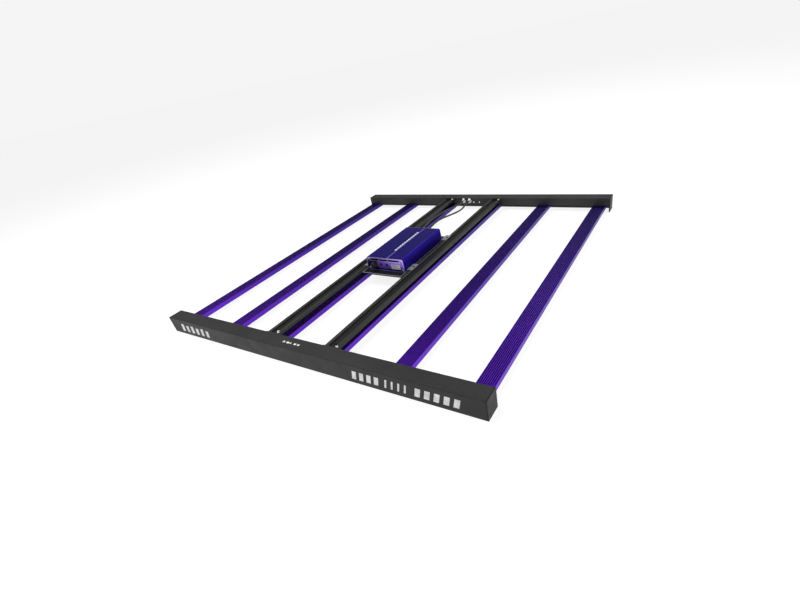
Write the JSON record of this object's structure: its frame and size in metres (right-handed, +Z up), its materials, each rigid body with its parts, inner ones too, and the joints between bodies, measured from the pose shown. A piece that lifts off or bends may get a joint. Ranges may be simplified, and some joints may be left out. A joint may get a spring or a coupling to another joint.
{
  "type": "led grow light",
  "caption": "Flat hanging grow light: ribbed light bars between two cross rails, with a central driver box on two support channels and a dimmer knob.",
  "frame": {"origin": "on the floor plane under the middle of the light, where the cross rails stand", "axes": "+X along the cross rails, +Y along the light bars towards the cable end, +Z up"},
  "size_m": [1.074, 1.124, 0.0855],
  "materials": {
    "dark_rail": "satin powder coat",
    "dark_cap": "satin powder coat",
    "violet_extrusion": "violet anodised",
    "board_white": "white solder mask",
    "led_phosphor": "phosphor",
    "clear_cover": "clear",
    "black_plastic": "moulded",
    "socket_violet": "moulded",
    "bright_screw": "zinc plated",
    "black_sheet": "satin black paint",
    "tray_sheet": "satin grey paint",
    "black_screw": "black oxide",
    "violet_housing": "deep violet anodised",
    "violet_plate": "bright violet",
    "circuit_green": "solder mask",
    "ferrite": "ferrite",
    "capacitor_sleeve": "shrink sleeve",
    "knob_black": "moulded",
    "label_white": "plain film",
    "nickel": "nickel plated",
    "cable_black": "matt"
  },
  "bodies": {
    "body": {"bar_1_board": "board_white", "bar_1_cover_strip": "clear_cover", "bar_1_heatsink": "violet_extrusion", "bar_1_leds": "led_phosphor", "bar_2_board": "board_white", "bar_2_cover_strip": "clear_cover", "bar_2_heatsink": "violet_extrusion", "bar_2_leds": "led_phosphor", "bar_3_board": "board_white", "bar_3_cover_strip": "clear_cover", "bar_3_heatsink": "violet_extrusion", "bar_3_leds": "led_phosphor", "bar_4_board": "board_white", "bar_4_cover_strip": "clear_cover", "bar_4_heatsink": "violet_extrusion", "bar_4_leds": "led_phosphor", "bar_5_board": "board_white", "bar_5_cover_strip": "clear_cover", "bar_5_heatsink": "violet_extrusion", "bar_5_leds": "led_phosphor", "bar_6_board": "board_white", "bar_6_cover_strip": "clear_cover", "bar_6_heatsink": "violet_extrusion", "bar_6_leds": "led_phosphor", "bar_end_plugs_front": "black_plastic", "bar_end_plugs_rear": "black_plastic", "bar_screws_front": "bright_screw", "bar_screws_rear": "bright_screw", "bracket_screws": "black_screw", "channel_end_brackets": "black_sheet", "channel_screws": "bright_screw", "control_sockets": "socket_violet", "dimmer_switch": "black_plastic", "driver_capacitors": "capacitor_sleeve", "driver_circuit_board": "circuit_green", "driver_fixing_screws": "bright_screw", "driver_front_plate": "violet_plate", "driver_housing": "violet_housing", "driver_output_glands": "nickel", "driver_rear_plate": "violet_plate", "driver_transformers": "ferrite", "driver_tray": "tray_sheet", "front_left_end_cap": "dark_cap", "front_rail": "dark_rail", "front_right_end_cap": "dark_cap", "mains_inlet": "black_plastic", "output_cable_1": "cable_black", "output_cable_2": "cable_black", "plate_screws": "bright_screw", "rail_glands": "nickel", "rail_plug_buttons": "bright_screw", "rating_label": "label_white", "rear_left_end_cap": "dark_cap", "rear_rail": "dark_rail", "rear_right_end_cap": "dark_cap", "support_channel_left": "black_sheet", "support_channel_right": "black_sheet", "tray_screws": "black_screw", "wiring_harness": "cable_black"},
    "knob": {"dimmer_knob": "knob_black"}
  },
  "joints": [
    {"name": "dimmer_turn", "type": "hinge", "parent": "body", "child": "knob", "pos_m": [-0.045, -0.1257, 0.058], "axis": [0, 1, 0], "range_deg": [0, 270]}
  ]
}
